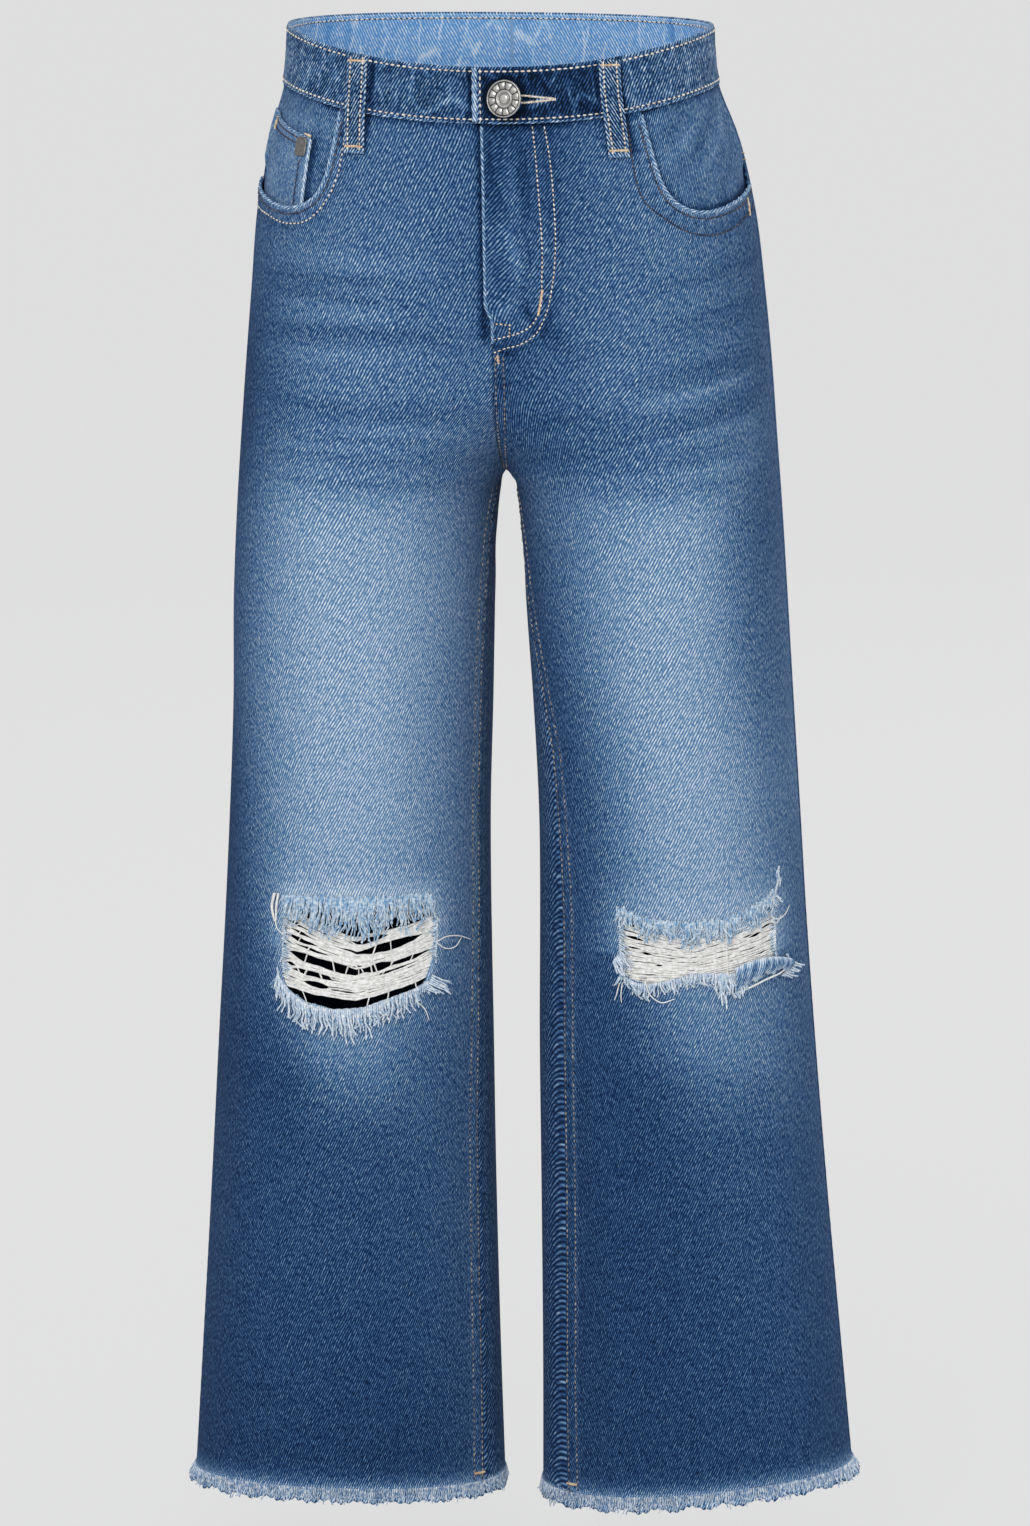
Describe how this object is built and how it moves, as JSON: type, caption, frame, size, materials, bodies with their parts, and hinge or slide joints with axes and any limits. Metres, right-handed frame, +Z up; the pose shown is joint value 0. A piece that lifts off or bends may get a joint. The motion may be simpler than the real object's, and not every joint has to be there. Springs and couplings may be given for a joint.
{
  "type": "ripped jeans",
  "caption": "Wide-leg ripped jeans with a high waist, frayed knees and raw hems, hollow and filled out as if worn.",
  "frame": {"origin": "middle of the waist, halfway up the waistband at the side seams", "axes": "+Z up, the front faces -Y, the wearer's left is +X"},
  "size_m": [0.3754, 0.1891, 0.8278],
  "materials": {
    "leg_denim": "washed indigo twill, faded at the thighs",
    "pocket_denim": "washed indigo twill",
    "waistband_denim": "washed indigo twill, darker, with worn edges",
    "loop_denim": "washed indigo twill with worn edges",
    "frayed_denim": "loose pale warp and weft threads",
    "cross_threads": "off-white cotton threads",
    "zip_tape": "dark navy woven tape",
    "zip_brass": "satin",
    "button_metal": "satin, antique silver",
    "button_post_steel": "satin",
    "rivet_brass": "aged"
  },
  "bodies": {
    "root": {"front_panel_left": "leg_denim", "front_panel_right": "leg_denim", "back_panel_left": "leg_denim", "back_panel_right": "leg_denim", "back_yoke_left": "leg_denim", "back_yoke_right": "leg_denim", "pocket_facing_left": "pocket_denim", "pocket_facing_right": "pocket_denim", "coin_pocket": "pocket_denim", "back_pocket_left": "pocket_denim", "back_pocket_right": "pocket_denim", "waistband": "waistband_denim", "belt_loop_front_left": "loop_denim", "belt_loop_front_right": "loop_denim", "belt_loop_back_left": "loop_denim", "belt_loop_back_right": "loop_denim", "belt_loop_back_centre": "loop_denim", "hem_fringe_left": "frayed_denim", "hem_fringe_right": "frayed_denim", "rip_fringe_upper_left": "frayed_denim", "rip_fringe_upper_right": "frayed_denim", "rip_fringe_lower_left": "frayed_denim", "rip_fringe_lower_right": "frayed_denim", "rip_threads_left": "cross_threads", "rip_threads_right": "cross_threads", "zip_tape": "zip_tape", "zip_slider": "zip_brass", "button_cap": "button_metal", "button_post": "button_post_steel", "coin_pocket_rivet": "rivet_brass"}
  },
  "joints": []
}
